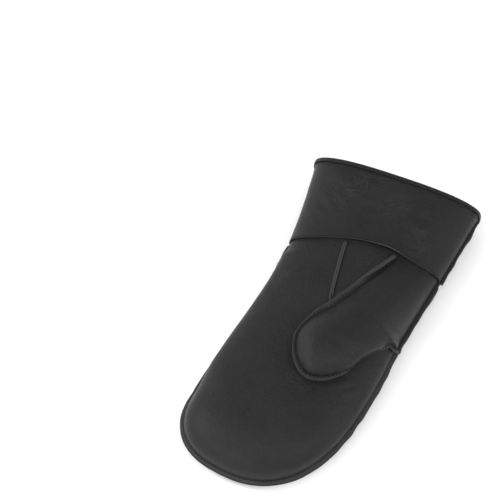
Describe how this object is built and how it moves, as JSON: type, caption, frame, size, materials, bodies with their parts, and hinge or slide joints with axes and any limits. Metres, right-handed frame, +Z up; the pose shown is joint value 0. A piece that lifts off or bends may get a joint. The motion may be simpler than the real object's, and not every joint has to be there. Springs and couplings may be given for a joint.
{
  "type": "leather mitten",
  "caption": "Left-hand black leather mitten with a wool lining, lying palm up: thumb folded over the palm, standing seams, a lapped flared cuff and a bound mouth.",
  "frame": {"origin": "on the surface that the mitten lies on, under the middle of its outline", "axes": "+X across the palm towards the thumb, +Y from the fingertips to the mouth of the cuff, +Z up, out of the palm"},
  "size_m": [0.1448, 0.2978, 0.0609],
  "materials": {
    "leather": "semi-matte black nappa with a fine grain",
    "binding": "semi-matte black leather strip",
    "wool": "sheared grey-brown pile"
  },
  "bodies": {
    "root": {"palm_panel": "leather", "gusset_panel": "leather", "thumb_front_panel": "leather", "thumb_back_panel": "leather", "back_panel_little_finger_side": "leather", "back_panel_thumb_side": "leather", "cuff": "leather", "cuff_binding": "binding", "hand_wool": "wool", "cuff_wool": "wool"}
  },
  "joints": []
}
